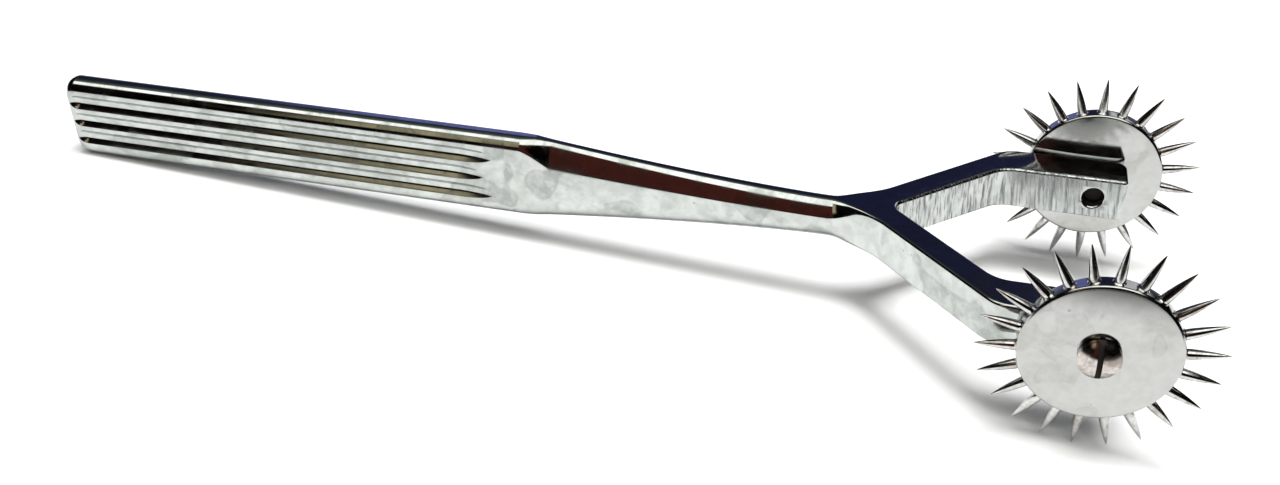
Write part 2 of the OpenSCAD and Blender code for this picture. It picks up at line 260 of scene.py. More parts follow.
def cut_out(piece, cutter):
    """Takes the closed mesh of cutter out of piece for good."""
    tool = bpy.data.objects.new("cutter", cutter)
    bpy.context.scene.collection.objects.link(tool)
    cut = piece.modifiers.new("Cut", "BOOLEAN")
    cut.operation, cut.solver, cut.object = "DIFFERENCE", "EXACT", tool
    bpy.context.view_layer.update()
    result = bpy.data.meshes.new_from_object(piece.evaluated_get(bpy.context.evaluated_depsgraph_get()))
    piece.modifiers.remove(cut)
    old, piece.data = piece.data, result
    result.name = piece.name
    bpy.data.objects.remove(tool)
    bpy.data.meshes.remove(cutter)
    bpy.data.meshes.remove(old)


# The handle: bar, neck and fork


class HandleShape:
    """The curves that the handle's surface follows, with the handle level and the wheel axis at x = 0."""

    # Steps across the section: the flat on top, a rounded edge, a plain side and half a flute
    CROWN_STEPS, EDGE_STEPS, WALL_STEPS, FLUTE_STEPS = 4, 12, 6, 6
    # Steps along the bar, from its end to the fork, and the least of them
    BUTT_STEPS, ENTRY_STEPS, GRIP_STEPS, LIFT_STEPS = 14, 16, 24, 24
    SWEEP_STEPS, NECK_STEPS, RUN_OUT_STEPS = 22, 28, 22
    LEAST_STEP, PAST_FLUTES = 0.004 * MM, 0.3 * MM
    # Steps along the fork: split, crotch, arm, bend, side of the fork end and its rounded corner
    SPLIT_STEPS, CROTCH_STEPS, ARM_STEPS, BEND_STEPS, SIDE_STEPS, END_STEPS = 4, 8, 10, 8, 6, 12
    # Flutes: their number, how softly an edge breaks, the least half width that is drawn, the lines that
    # hold each edge, and how steeply the groove is left behind there
    FLUTES = 3
    FLUTE_CREST, FLUTE_LEAST, FLUTE_LIPS, LIP_SLOPE = 0.04 * MM, 0.12 * MM, (0.03 * MM, 0.09 * MM), 4
    # How far the sweep starts before the shoulder, how the sweep, the neck and its flat side curve, and
    # the share of the flare before the split
    SWEEP_LEAD, SWEEP_POWER, NECK_SWELL, FLAT_SWELL, FLARE_SHARE = 0.45, 1.4, 1.5, 1.4, 0.8

    def __init__(self, sizes, wheels):
        self.s = s = sizes
        self.tip_r = wheels.tip_diameter / 2
        self.bar_half, self.grip_half = s.bar_thickness / 2, s.grip_height / 2
        self.fork_half, self.pad_half = s.fork_height / 2, s.pad_height / 2
        self.butt_x, self.shoulder_x = self.tip_r - s.overall_length, -s.shoulder_reach
        self.pad_in = s.fork_span / 2
        self.pad_out = self.pad_in + s.pad_thickness
        sin, tan, half_bend = math.sin(s.arm_angle), math.tan(s.arm_angle), math.tan(s.arm_angle / 2)
        crotch_x = -s.fork_reach - s.crotch_radius * (1 / sin - 1)
        outer_x = crotch_x - s.arm_thickness / sin
        self.fork_x = outer_x + self.bar_half / tan - s.flare_radius * half_bend
        self.split_x = self.fork_x + self.FLARE_SHARE * s.flare_radius * sin
        self.bend_in_x = crotch_x + self.pad_in / tan + s.bend_radius * half_bend
        self.bend_out_x = outer_x + self.pad_out / tan + s.bend_radius * half_bend
        self.cutter_r = (s.flute_width**2 / 4 + s.flute_depth**2) / (2 * s.flute_depth)
        self.entry_run, self.lift_run = (
            math.sqrt(r**2 - (r - s.flute_depth) ** 2) for r in (s.flute_entry, s.flute_lift)
        )
        self.flute_from = self.butt_x + s.flute_to_butt
        self.flute_to = self.shoulder_x - s.flute_to_shoulder

    def place(self):
        """Tips the level handle forward until its end and the pins both touch the floor."""
        s = self.s
        reach, drop = -self.butt_x - s.butt_corner, self.grip_half - s.butt_corner
        tilt = math.asin((self.tip_r - s.butt_corner) / math.hypot(reach, drop)) - math.atan(drop / reach)
        axis_x = s.overall_length / 2 - self.tip_r
        return Matrix.Translation((axis_x, 0, self.tip_r)) @ Matrix.Rotation(-tilt, 4, "Y")

    # Bar and neck

    def along_neck(self, x):
        return clamp01((x - self.fork_x) / (self.shoulder_x - self.fork_x))

    def shoulder_blend(self, x):
        return clamp01((x - self.shoulder_x) / self.s.shoulder_sweep + self.SWEEP_LEAD) ** self.SWEEP_POWER

    def fork_blend(self, x):
        return smooth(clamp01((x - self.split_x) / self.s.neck_run_out + 1))

    def fork_height_at(self, x):
        return mix(self.fork_half, self.pad_half, (x - self.fork_x) / (self.s.pad_reach - self.fork_x))

    def half_height(self, x):
        flare = self.fork_height_at(max(x, self.fork_x))
        full = mix(flare, self.grip_half, self.along_neck(x) ** self.NECK_SWELL)
        return full - corner_loss(self.s.butt_corner, x - self.butt_x)

    def flare_side(self, x, inset):
        run = max(0.0, x - self.fork_x)
        reach = self.s.flare_radius
        return self.bar_half + reach - math.sqrt((reach + inset) ** 2 - run * run)

    def half_width(self, x):
        return self.flare_side(x, 0) - corner_loss(self.s.butt_edge, x - self.butt_x)

    def edge_height(self, x):
        s, blend = self.s, self.shoulder_blend(x)
        flat = mix(s.neck_flat_narrow, s.neck_flat_wide, self.along_neck(x) ** self.FLAT_SWELL)
        neck = self.half_height(x) - flat / 2
        return mix(mix(s.grip_edge, neck, blend), s.arm_bevel, self.fork_blend(x))

    def edge_width(self, x):
        s, blend = self.s, self.fork_blend(x)
        bevel = self.flare_side(x, 0) - self.flare_side(x, s.arm_bevel)
        bar = mix(s.grip_edge, self.bar_half - s.neck_crown / 2, self.shoulder_blend(x))
        return min(mix(bar, bevel, 1 - (1 - blend) ** 2), self.half_width(x) - s.neck_crown / 2)

    def flute_at(self, x, end):
        """Depth and half width at x of a flute that ends at end."""
        s = self.s
        if not self.flute_from < x < end:
            return 0.0, 0.0
        depth = s.flute_depth
        for inside, run, lift in (
            (x - self.flute_from, self.entry_run, s.flute_entry),
            (end - x, self.lift_run, s.flute_lift),
        ):
            back = max(0.0, run - inside)
            depth = min(depth, s.flute_depth - (lift - math.sqrt(lift**2 - back * back)))
        depth = max(0.0, depth)
        return depth, math.sqrt(max(0.0, self.cutter_r**2 - (self.cutter_r - depth) ** 2))

    def fluted_side(self, x):
        """Levels down the fluted side of the grip, each with its depth below the flat."""
        s, arc, r = self.s, self.FLUTE_STEPS, self.cutter_r
        limit = self.half_height(x) - s.grip_edge
        squeeze = limit / (self.half_height(max(x, self.flute_from)) - s.grip_edge)
        lines = [(limit, 0.0)]
        for i in range(self.FLUTES):
            depth, half = self.flute_at(x, self.flute_to - (i % 2) * s.flute_stagger)
            least = max(half, self.FLUTE_LEAST)
            swing = math.asin(min(1.0, least / r))
            lips = [least + out for out in self.FLUTE_LIPS]
            across = [r * math.sin(swing * k / arc) for k in range(-arc, arc + 1)]
            across = [-lip for lip in lips[::-1]] + across + lips
            middle = ((self.FLUTES - 1) / 2 - i) * s.flute_pitch
            for offset in across:
                reach = min(abs(offset), half)
                groove = math.sqrt(r**2 - reach * reach) - (r - depth)
                groove -= self.LIP_SLOPE * (abs(offset) - reach)
                sunk = (groove + math.hypot(groove, self.FLUTE_CREST)) / 2 if depth > 0 else 0.0
                lines.append(((middle - offset) * squeeze, sunk))
        return lines + [(-limit, 0.0)]

    def plain_side(self, x):
        limit = self.half_height(x) - self.edge_height(x)
        return [(mix(limit, -limit, t), 0.0) for t in steps(self.WALL_STEPS)]

    def bar_ring(self, x, side):
        """Half of the bar's section, from the middle of the top round the left side to the bottom."""
        tall, wide = self.half_height(x), self.half_width(x)
        h, w = self.edge_height(x), self.edge_width(x)
        top = [(x, (wide - w) * t, tall) for t in steps(self.CROWN_STEPS)]
        first = self.s.neck_edge_turn * self.shoulder_blend(x) * (1 - self.fork_blend(x))
        for t in steps(self.EDGE_STEPS)[-2:0:-1]:
            a = mix(first, math.pi / 2, t)
            rise = (math.sin(a) - math.sin(first)) / (1 - math.sin(first))
            top.append((x, wide - w + w * math.cos(a) / math.cos(first), tall - h + h * rise))
        return top + [(x, wide - sunk, z) for z, sunk in side] + [(x, y, -z) for x, y, z in top[::-1]]

    def grip_stations(self):
        s = self.s
        butt = [self.butt_x + s.butt_corner * (1 - math.cos(a)) for a in quarter_turn(self.BUTT_STEPS)]
        run_in = [self.flute_from + self.entry_run * t * t for t in steps(self.ENTRY_STEPS)]
        run_out = [self.flute_to - self.lift_run * t * t for t in steps(self.LIFT_STEPS)]
        run_out += [x - s.flute_stagger for x in run_out]
        middle = [mix(run_in[-1], min(run_out), t) for t in steps(self.GRIP_STEPS)]
        found = sorted(butt + run_in + middle + run_out + [self.flute_to + self.PAST_FLUTES])
        return [x for x, last in zip(found, [-1.0] + found) if x - last > self.LEAST_STEP]

    def neck_stations(self):
        s = self.s
        start = self.shoulder_x - self.SWEEP_LEAD * s.shoulder_sweep
        marks = (start, start + s.shoulder_sweep, self.split_x - s.neck_run_out, self.split_x)
        found = [start]
        for a, b, count in zip(marks, marks[1:], (self.SWEEP_STEPS, self.NECK_STEPS, self.RUN_OUT_STEPS)):
            found += [mix(a, b, t) for t in steps(count)[1:]]
        return found[:-1]

    # Fork, seen from above: each station pairs a point of the outer side with one of the inner side

    def arc(self, centre, radius, turns, sense=1):
        """Points of an upright rounded side with their outward directions.

        A negative radius puts them across the centre. sense is -1 on the inner side."""
        found = []
        for a in turns:
            out = Vector((-math.sin(a), math.cos(a)))
            found.append((Vector(centre) + radius * out, sense * out))
        return found

    def line(self, start, end, count):
        """Points between start and the point end, with start's outward direction."""
        a, out = start
        return [(a.lerp(end, t), out) for t in steps(count)[1:-1]]

    def fork_pairs(self):
        s, lean = self.s, self.s.arm_angle
        first = math.asin(self.FLARE_SHARE * math.sin(lean))
        turns = [mix(first, lean, t) for t in steps(self.SPLIT_STEPS + self.CROTCH_STEPS)]
        outer = self.arc((self.fork_x, self.bar_half + s.flare_radius), -s.flare_radius, turns)
        split = steps(self.SPLIT_STEPS)[:-1]
        inner = [(Vector((mix(self.split_x, -s.fork_reach - s.arm_bevel, t), 0)), None) for t in split]
        hub = Vector((s.crotch_radius - s.fork_reach, 0))
        for t in steps(self.CROTCH_STEPS):
            a = mix(0, math.pi / 2 - lean, t)
            out = Vector((math.cos(a), -math.sin(a)))
            inner.append((hub - s.crotch_radius * out, out))
        turns = [mix(lean, 0, t) for t in steps(self.BEND_STEPS)]
        round_x = s.pad_reach - s.pad_round
        for side, x, y, sense in (
            (outer, self.bend_out_x, self.pad_out, 1),
            (inner, self.bend_in_x, self.pad_in, -1),
        ):
            bend = self.arc((x, y - s.bend_radius), s.bend_radius, turns, sense)
            side += self.line(side[-1], bend[0][0], self.ARM_STEPS) + bend
            side += self.line(side[-1], Vector((round_x, y)), self.SIDE_STEPS)
        for a in quarter_turn(self.END_STEPS):
            x = round_x + s.pad_round * math.sin(a)
            corner = Vector((x, self.pad_out - s.pad_round * (1 - math.cos(a))))
            outer.append((corner, Vector((math.sin(a), math.cos(a)))))
            left = max(0.0, s.pad_corner - (s.pad_reach - x))
            b = math.asin(min(1.0, left / s.pad_corner))
            corner = Vector((x, self.pad_in + s.pad_corner * (1 - math.cos(b))))
            inner.append((corner, Vector((math.sin(b), -math.cos(b)))))
        return outer, inner

    def level(self, point, drop):
        """Height of the fork's surface at a point, a drop below the flat, with the nose rounded off."""
        s = self.s
        nose = self.pad_half - corner_loss(s.pad_nose, s.pad_reach - point.x)
        return min(self.fork_height_at(point.x) - drop, nose)

    def wall(self, x, y, z):
        """Points between one at height z and the one straight across at -z."""
        return [(x, y, mix(z, -z, t)) for t in steps(self.WALL_STEPS)[1:-1]]

    def fork_rings(self):
        """Sections along the arm, from the neck to the fork end. The first ones end on the middle line."""
        s = self.s
        turns = quarter_turn(self.EDGE_STEPS)
        bevel = [(s.arm_bevel * (1 - math.sin(a)), s.arm_bevel * (1 - math.cos(a))) for a in turns]

        def side(start, direction):
            return [(start - inset * direction, drop) for inset, drop in bevel]

        def lift(points):
            return [(p.x, p.y, self.level(p, drop)) for p, drop in points]

        rings = []
        for (a, out), (b, back) in zip(*self.fork_pairs()):
            rim = side(a, out)
            foot = side(b, back) if back else [(b, 0)]
            flat = [(foot[0][0].lerp(rim[0][0], t), 0) for t in steps(self.CROWN_STEPS)[:-1]]
            top = lift(flat + rim)
            ring = top + self.wall(*top[-1]) + [(x, y, -z) for x, y, z in top[::-1]]
            if back:
                inside = lift(foot[1:])
                x, y, z = inside[-1]
                ring += [(x, y, -z) for x, y, z in inside] + self.wall(x, y, -z) + inside[::-1]
            rings.append(ring)
        return rings

    def skin(self):
        """Left half of the handle. The fork takes over from the neck's last section."""
        skin = Skin()
        grip = [skin.row(self.bar_ring(x, self.fluted_side(x))) for x in self.grip_stations()]
        neck = [skin.row(self.bar_ring(x, self.plain_side(x))) for x in self.neck_stations()]
        fork = [skin.row(ring) for ring in self.fork_rings()]
        for a, b in zip(grip, grip[1:]):
            skin.strip(a, b)
        corner = self.CROWN_STEPS + self.EDGE_STEPS
        a, b = grip[-1], neck[0]
        skin.strip(a[: corner + 1], b[: corner + 1])
        skin.strip(a[-corner - 1 :], b[-corner - 1 :])
        skin.faces.append([a[corner]] + b[corner:-corner] + a[corner + 1 : -corner][::-1])
        half, split = len(neck[0]), self.SPLIT_STEPS
        arms = neck + fork[: split + 1]
        for a, b in zip(arms, arms[1:]):
            skin.strip(a, b[:half])
        for a, b in zip(fork[split:], fork[split + 1 :]):
            skin.tube(a, b)
        skin.faces.append(grip[0])
        self.close_pad(skin, fork[-1])
        return skin

    def close_pad(self, skin, ring):
        """Front face of the fork end, in columns from the top flat over the nose to the bottom flat."""
        crown = self.CROWN_STEPS
        drop = 2 * self.EDGE_STEPS + self.WALL_STEPS
        rim = ring[crown : crown + drop + 1]
        foot = ring[:1] + ring[: -drop : -1] + [ring[2 * crown + drop]]
        columns = [foot]
        for t in range(1, crown):
            between = [
                tuple(mix(a, b, t / crown) for a, b in zip(skin.points[i], skin.points[k]))
                for i, k in zip(foot[1:-1], rim[1:-1])
            ]
            columns.append([ring[t]] + skin.row(between) + [ring[2 * crown + drop - t]])
        columns.append(rim)
        for a, b in zip(columns, columns[1:]):
            skin.faces += [(a[k], a[k + 1], b[k + 1], b[k]) for k in range(drop)]


def turned(profile, count, place, name, groove=None):
    """A closed mesh turned from (radius, height) points, solid where they start and end on the axis.

    groove gives the depth of a thread at an angle and a height."""
    skin = Skin()
    turn = [2 * math.pi * k / count for k in range(count)]
    rows = []
    for radius, height in profile:
        if radius < ON_AXIS:
            rows.append(skin.row([(0, 0, height)]))
        else:
            reach = [radius - (groove(a, height) if groove else 0) for a in turn]
            rows.append(skin.row([(r * math.cos(a), r * math.sin(a), height) for r, a in zip(reach, turn)]))
    solid = len(rows[0]) == 1
    for a, b in zip(rows, rows[1:] + ([] if solid else rows[:1])):
        if len(a) == len(b):
            skin.tube(a, b)
        else:
            tip, ring = (a, b) if len(a) == 1 else (b, a)
            skin.faces += [(tip[0], ring[k], ring[(k + 1) % count]) for k in range(count)]
    return skin.mesh(name, place)


def axle_place(shape, side, out=0):
    """From a shape drawn upright to its place on the wheel axis, this far out from the middle."""
    return (
        shape.place()
        @ Matrix.Diagonal((1, side, 1, 1))
        @ Matrix.Translation((0, out, 0))
        @ Matrix.Rotation(-math.pi / 2, 4, "X")
    )


def wheel_place(shape, wheels, side):
    """From a wheel drawn with its axis upright, inner face first, to its place beside the fork."""
    return axle_place(shape, side, shape.pad_out + wheels.wheel_gap + wheels.disc_crown)


class Graph:
    """Places shader nodes in a tree and links them by the names or numbers of their inputs."""

    def __init__(self, tree):
        self.tree = tree

    def feed(self, socket, value):
        if isinstance(value, bpy.types.NodeSocket):
            self.tree.links.new(value, socket)
        else:
            socket.default_value = value

    def node(self, kind, inputs=(), **settings):
        made = self.tree.nodes.new("ShaderNode" + kind)
        for key, value in settings.items():
            setattr(made, key, value)
        for key, value in dict(inputs).items():
            self.feed(made.inputs[key], value)
        return made

    def math(self, operation, first, *others):
        """Takes the values in from left to right."""
        for other in others or (0.0,):
            first = self.node("Math", {0: first, 1: other}, operation=operation).outputs[0]
        return first

    def plus(self, *values):
        return self.math("ADD", *values)

    def times(self, *values):
        return self.math("MULTIPLY", *values)

    def ramp(self, value, low, high, top=1.0):
        """Rises smoothly from 0 at low to top at high."""
        inputs = {"Value": value, "From Min": low, "From Max": high, "To Min": 0.0, "To Max": top}
        return self.node("MapRange", inputs, interpolation_type="SMOOTHSTEP").outputs["Result"]

    def band(self, value, rise, fall):
        """Rises to 1 over the pair rise, and goes back to 0 over the pair fall."""
        return self.times(self.ramp(value, *rise), self.math("SUBTRACT", 1.0, self.ramp(value, *fall)))

    def noise(self, place, scale, detail=3.0, distortion=0.0):
        inputs = {"Vector": place, "Scale": scale, "Detail": detail, "Distortion": distortion}
        return self.node("TexNoise", inputs).outputs["Fac"]

    def stretch(self, place, by):
        return self.node("VectorMath", {0: place, 1: by}, operation="MULTIPLY").outputs[0]

    def place(self, by=(1, 1, 1)):
        """Position in metres on the object, stretched along its axes."""
        return self.stretch(self.node("TexCoord").outputs["Object"], by)

    def blend(self, amount, a, b):
        """From colour a to colour b."""
        return self.node("Mix", {0: amount, 6: a, 7: b}, data_type="RGBA").outputs[2]

    def effect(self, name, **inputs):
        """The value that a shared effect gives here."""
        values = {key.capitalize(): value for key, value in inputs.items()}
        return self.node("Group", values, node_tree=shared_effect(name)).outputs["Value"]


# Effects that the materials share. Each gives a value from 0 to about 1, at a scale


def smudges(g, scale):
    """Cloudy marks left by handling."""
    broad = g.ramp(g.noise(g.place(), scale, 5.0, 0.7), 0.42, 0.72)
    fine = g.noise(g.place((1, 1, 1.6)), g.times(scale, 6.0), 4.0)
    return g.times(broad, g.plus(fine, 0.45))


def dried_drops(g, scale):
    """Patches where drops have dried: a faint cloudy film, a little denser at its rim."""
    edge, rim_width, grain_scale = 0.585, 0.03, 1900.0
    shape = g.noise(g.place(), scale, 1.5, 0.3)
    film = g.ramp(shape, 0.555, edge)
    off_rim = g.ramp(g.math("ABSOLUTE", g.math("SUBTRACT", shape, edge)), 0.0, rim_width)
    rim = g.math("SUBTRACT", 1.0, off_rim)
    grain = g.plus(g.times(g.noise(g.place(), grain_scale, 4.0), 0.9), 0.2)
    return g.times(g.plus(film, g.times(rim, 0.45)), grain)


def mottle(g, scale):
    """The fine unevenness of the plating."""
    return g.ramp(g.noise(g.place(), scale, 6.0, 0.4), 0.3, 0.7)


def scratches(g, scale):
    """Fine polishing lines along the object, crossed by a few slanting ones."""
    along = g.ramp(g.noise(g.place((0.03, 1, 1)), g.times(scale, 60.0), 3.0), 0.5, 0.78)
    slant = g.ramp(g.noise(g.place((0.9, 0.25, 0.12)), g.times(scale, 45.0), 2.0), 0.62, 0.8)
    return g.math("MAXIMUM", along, g.times(slant, 0.7))


def worn_edges(g, scale):
    """Ridges rubbed bright, broken up by noise."""
    ridge = g.ramp(g.node("NewGeometry").outputs["Pointiness"], 0.52, 0.60)
    nicks = g.ramp(g.noise(g.place(), scale, 5.0), 0.38, 0.62)
    return g.times(ridge, nicks)


def pits(g, scale):
    """Scattered specks where the plating has pitted, most of them very small."""
    rarity, largest = 14.0, 0.22
    cell = g.node("TexVoronoi", {"Vector": g.place(), "Scale": scale})
    size = g.node("SeparateColor", {"Color": cell.outputs["Color"]}).outputs[0]
    return g.math("LESS_THAN", cell.outputs["Distance"], g.times(g.math("POWER", size, rarity), largest))


def grinding(g, scale):
    """Upright strokes of a grinding wheel, a little slanted and uneven."""
    lean = {"Vector": g.place(), "Angle": math.radians(12)}
    strokes = g.stretch(g.node("VectorRotate", lean, rotation_type="Y_AXIS").outputs[0], (1, 1, 0.09))
    fine = g.ramp(g.noise(strokes, scale, 4.0), 0.42, 0.68)
    broad = g.noise(strokes, g.times(scale, 0.3), 2.0)
    return g.times(fine, g.plus(broad, 0.35))


def ripple(g, scale):
    """The slight waviness of hand polishing."""
    return g.noise(g.place((0.35, 1, 1)), scale, 1.5)


# Each effect with its usual scale
EFFECTS = {
    "Smudges": (smudges, 150.0),
    "Dried drops": (dried_drops, 130.0),
    "Mottle": (mottle, 620.0),
    "Scratches": (scratches, 100.0),
    "Worn edges": (worn_edges, 1400.0),
    "Pits": (pits, 900.0),
    "Grinding": (grinding, 2400.0),
    "Ripple": (ripple, 260.0),
}


def shared_effect(name):
    """The node group of an effect, made once."""
    found = bpy.data.node_groups.get(name)
    if found:
        return found
    build, usual = EFFECTS[name]
    tree = bpy.data.node_groups.new(name, "ShaderNodeTree")
    for label, value in (("Scale", usual), ("Amount", 1.0)):
        socket = tree.interface.new_socket(label, in_out="INPUT", socket_type="NodeSocketFloat")
        socket.default_value = value
    tree.interface.new_socket("Value", in_out="OUTPUT", socket_type="NodeSocketFloat")
    start, end = (tree.nodes.new("NodeGroup" + kind) for kind in ("Input", "Output"))
    g = Graph(tree)
    g.feed(end.inputs["Value"], g.times(build(g, start.outputs["Scale"]), start.outputs["Amount"]))
    return tree


# Materials


def new_material(name):
    material = bpy.data.materials.new(name)
    material.use_nodes = True
    return material, Graph(material.node_tree), material.node_tree.nodes["Principled BSDF"]


def surface(g, shader, colour, rough, height, relief, strength=1.0):
    """Links a colour, a roughness and a height, with its relief in millimetres, to the shader."""
    bump = g.node("Bump", {"Strength": strength, "Distance": relief * MM, "Height": height}).outputs[0]
    for target, socket in (("Base Color", colour), ("Roughness", rough), ("Normal", bump)):
        g.feed(shader.inputs[target], socket)


# Tint, colour of the stains, roughness, relief in millimetres, and the scale and strength of the marks
WORKED_METALS = {
    "Handle chrome": ("handle_tint", (0.31, 0.33, 0.315, 1), 0.035, 0.012, 150.0, 1.0),
    "Disc chrome": ("disc_tint", (0.36, 0.36, 0.345, 1), 0.07, 0.005, 200.0, 0.7),
    "Screw steel": ("screw_tint", (0.30, 0.26, 0.235, 1), 0.085, 0.004, 420.0, 1.2),
    "Pin chrome": ("pin_tint", (0.34, 0.32, 0.29, 1), 0.08, 0.002, 520.0, 1.0),
}
SPECK, RUBBED = (0.09, 0.08, 0.07, 1), 1.2


def worked_metal(name, finish):
    """Plated or bare steel with handling marks, dried drops, polishing lines, specks and rubbed edges."""
    tint, stain, roughness, relief, scale, grime = WORKED_METALS[name]
    tint = getattr(finish, tint)
    material, g, shader = new_material(name)
    dirt = g.effect("Smudges", scale=scale, amount=finish.smudge * grime)
    drops = g.effect("Dried drops", scale=scale * 0.8, amount=finish.smudge * grime)
    clouds = g.effect("Mottle", scale=scale * 4.0, amount=0.75 * grime)
    marks = ("Scratches", "Pits", "Worn edges")
    lines, specks, ridges = (g.effect(mark, amount=finish.wear) for mark in marks)
    film = g.math("MINIMUM", g.plus(dirt, drops, g.times(clouds, 0.6)), 1.0)
    colour = g.blend(film, (*tint, 1), stain)
    colour = g.blend(g.times(specks, 0.7), colour, SPECK)
    colour = g.blend(ridges, colour, (*[min(1.0, RUBBED * c) for c in tint], 1))
    rough = g.plus(g.times(film, 0.14), roughness, g.times(lines, 0.08), g.times(ridges, 0.10))
    height = g.plus(g.effect("Ripple", amount=1.0), g.times(lines, 0.05))
    height = g.math("SUBTRACT", height, g.times(specks, 0.1))
    shader.inputs["Metallic"].default_value = 1.0
    surface(g, shader, colour, rough, height, relief)
    return material


def painted_recess_shade():
    """Painted shade, nearly black, for the inside of a slot, of a threaded hole and on a thread, broken by
    a fine noisy crust.
    """
    material, g, shader = new_material("Thread grime")
    crust = g.noise(g.place(), 2600.0, 4.0)
    colour = g.blend(crust, (0.006, 0.006, 0.006, 1), (0.035, 0.030, 0.026, 1))
    surface(g, shader, colour, g.plus(g.times(crust, 0.4), 0.3), crust, 0.02, 0.6)
    shader.inputs["Specular IOR Level"].default_value = 0.12
    return material


def ground_steel(finish):
    """The inner faces of the fork, left with upright grinding strokes under the plating."""
    material, g, shader = new_material("Ground steel")
    strokes = g.effect("Grinding", amount=1.0)
    clouds = g.effect("Mottle", scale=420.0, amount=0.8)
    colour = g.blend(strokes, (*finish.handle_tint, 1), (0.15, 0.16, 0.165, 1))
    colour = g.blend(g.times(clouds, 0.5), colour, (0.22, 0.23, 0.225, 1))
    shader.inputs["Metallic"].default_value = 1.0
    surface(g, shader, colour, g.plus(g.times(strokes, 0.25), 0.16), strokes, 0.03)
    return material


# Operators, one for each piece or group of like pieces

SIDES = ((-1, "right"), (1, "left"))
# Numbers of sides of the turned pieces, and of steps along the threads, domes and rounded rims
HOLE_SIDES, DISC_SIDES, SCREW_SIDES, PIN_SIDES = 64, 220, 96, 28
THREAD_STEPS, HEAD_STEPS, FACE_STEPS, RIM_STEPS, POINT_STEPS = 64, 20, 24, 8, 14
# How far a cutter stands over, and the broken edges of the bore, of the head and under a pin's collar
OVER, BORE_CHAMFER, HEAD_CHAMFER, COLLAR_FOOT = 1 * MM, 0.08 * MM, 0.12 * MM, 0.1 * MM
# Depth of the thread as a share of its pitch, the length over which it fades out, and the flat share
# of a pin's blunt tip
THREAD_DEPTH, THREAD_FADE, TIP_FLAT = 0.54, 0.6 * MM, 0.6
# Edges of the screws and of the pins that turn more sharply than this are shaded sharp
SCREW_SHARP, PIN_SHARP = math.radians(32), math.radians(40)
# Faces that take the painted shade of a recess or the grinding: the slack beside a wall, how far they turn
# to the slot's sides and to the middle of the fork, and how far the slot's floor may lie above the head's
# rim
WALL_SLACK, SLOT_TURN, INWARD_TURN, SLOT_FOOT = 1.02, 0.9, 0.3, 0.3 * MM


def sizes_of(context):
    """The wheels' sizes, the handle's shape and the finish that the panel holds."""
    scene = context.scene
    wheels = scene.pinwheel_wheels
    return wheels, HandleShape(scene.pinwheel_handle, wheels), scene.pinwheel_finish


class PINWHEEL_OT_handle(bpy.types.Operator):
    """Builds the handle with its fluted grip, rounded neck and fork"""

    bl_idname = "pinwheel.handle"
    bl_label = "Handle and fork"

    def execute(self, context):
        wheels, shape, finish = sizes_of(context)
        data = shape.skin().mesh("handle", shape.place(), mirrored=True)
        material = worked_metal("Handle chrome", finish)
        piece = add_piece(data, material, "handle", "handle_chrome", "handle_fork")
        for side, _ in SIDES:
            cut_out(piece, self.screw_hole(shape, wheels, side))
        wall, sink = wheels.thread_diameter / 2 * WALL_SLACK, wheels.countersink / 2

        def threaded(at, _):
            return math.hypot(at.x, at.z) < wall and shape.pad_in < abs(at.y) < shape.pad_out

        def ground(at, way):
            inward = way.y * at.y < -INWARD_TURN * abs(at.y)
            return inward and at.x > -shape.s.fork_reach and math.hypot(at.x, at.z) > sink

        # The faces inside each threaded hole take the near-black painted shade of a recess
        shade_or_grind_faces(piece, shape.place(), threaded, painted_recess_shade())
        shade_or_grind_faces(piece, shape.place(), ground, ground_steel(finish))
        even_normals(piece)
        return {"FINISHED"}

    def screw_hole(self, shape, wheels, side):
        """The threaded hole through a fork end, with the countersink at the inner face."""
        hole, sink = wheels.thread_diameter / 2, wheels.countersink / 2
        inner, outer = shape.pad_in, shape.pad_out
        profile = [
            (0, inner - OVER),
            (sink + OVER, inner - OVER),
            (hole, inner + sink - hole),
            (hole, outer + OVER),
            (0, outer + OVER),
        ]
        return turned(profile, HOLE_SIDES, axle_place(shape, side), "screw_hole")


class PINWHEEL_OT_discs(bpy.types.Operator):
    """Builds the two domed discs with their rounded rims"""

    bl_idname = "pinwheel.discs"
    bl_label = "Discs"

    def execute(self, context):
        wheels, shape, finish = sizes_of(context)
        material = worked_metal("Disc chrome", finish)
        for side, name in SIDES:
            place = wheel_place(shape, wheels, side)
            data = turned(self.profile(wheels), DISC_SIDES, place, name + "_wheel_disc")
            piece = add_piece(data, material, name + "_wheel", "disc_chrome", name + "_disc")
            even_normals(piece)
        return {"FINISHED"}

    def profile(self, wheels):
        """Round the section: up the bore, over the outer face and the rim, back over the inner face."""
        outer = self.half_profile(wheels, wheels.disc_swell)
        inner = self.half_profile(wheels, wheels.disc_crown)
        return outer + [(radius, wheels.disc_thickness - z) for radius, z in inner[-2:0:-1]]

    def half_profile(self, wheels, crown):
        """One domed face, from the middle of the bore to the middle of the rim."""
        bore = wheels.journal_diameter / 2 + wheels.running_clearance
        rim, edge, thick = wheels.disc_diameter / 2, wheels.disc_edge, wheels.disc_thickness
        face = rim - edge
        crown_r = (face**2 + crown**2) / (2 * crown)

        def dome(radius):
            return math.sqrt(crown_r**2 - radius**2) - (crown_r - crown)

        across = [mix(bore + BORE_CHAMFER, face, t) for t in steps(FACE_STEPS)]
        half = [(bore, thick / 2), (bore, thick + dome(bore) - BORE_CHAMFER)]
        half += [(radius, thick + dome(radius)) for radius in across]
        turns = quarter_turn(RIM_STEPS)[1:]
        half += [(face + edge * math.sin(a), thick - edge * (1 - math.cos(a))) for a in turns]
        return half + [(rim, thick / 2)]


